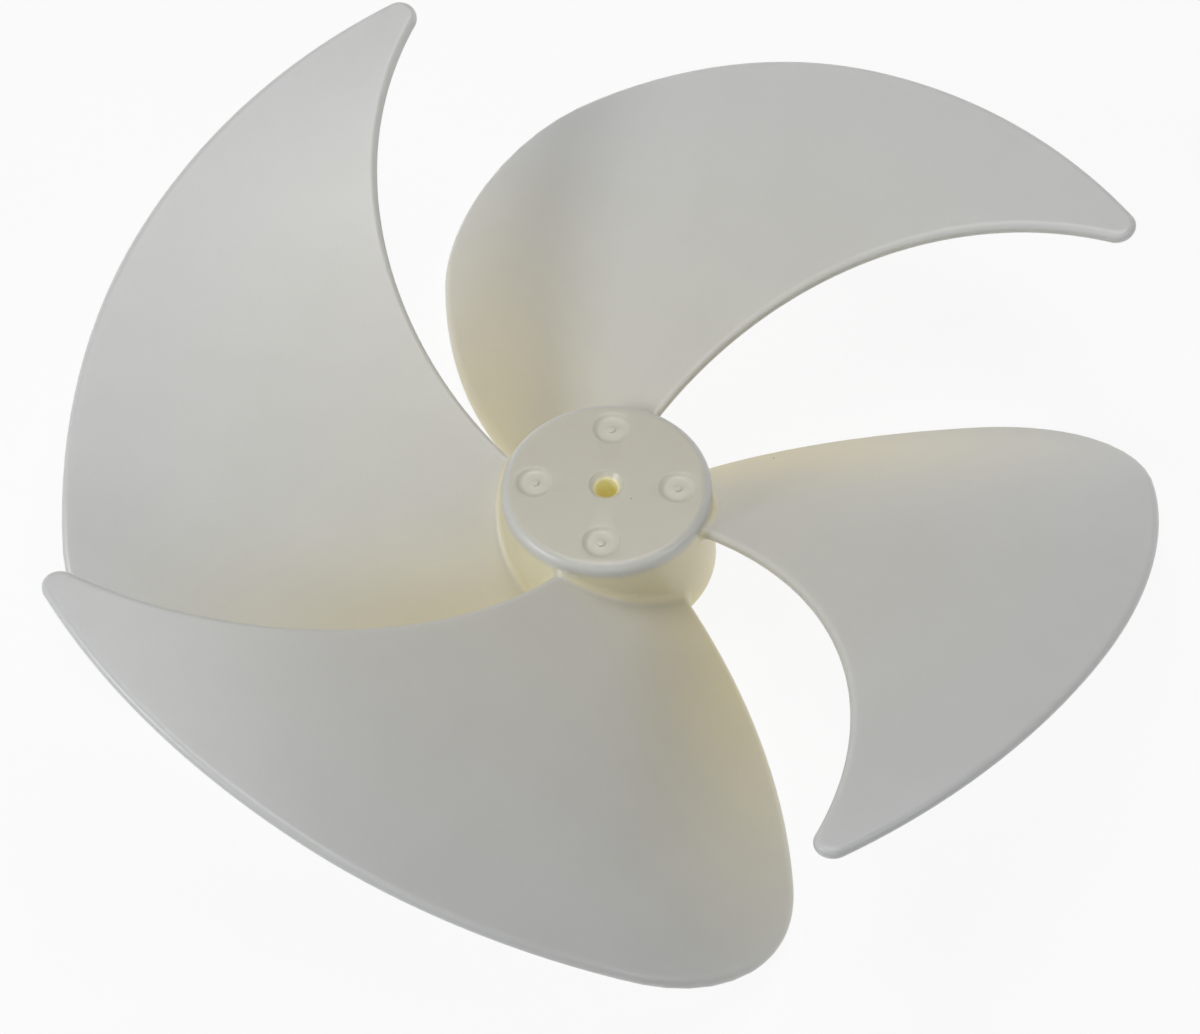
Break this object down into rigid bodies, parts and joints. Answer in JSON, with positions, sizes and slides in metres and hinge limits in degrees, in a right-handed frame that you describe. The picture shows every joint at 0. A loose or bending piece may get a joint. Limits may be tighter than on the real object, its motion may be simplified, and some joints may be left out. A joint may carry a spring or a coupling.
{
  "type": "refrigerator fan blade",
  "caption": "Moulded axial fan for a refrigerator: forward-swept cambered blades on a cup-shaped hub with a press-fit shaft bore.",
  "frame": {"origin": "on the axis of the shaft bore, at the open end of the boss inside the hub", "axes": "+Z along the bore's axis, out of the closed front face of the hub; +X along one of the blades"},
  "size_m": [0.1524, 0.1524, 0.0414],
  "materials": {
    "natural_plastic": "satin, milky natural polypropylene"
  },
  "bodies": {
    "root": {"fan_blade": "natural_plastic"}
  },
  "joints": []
}
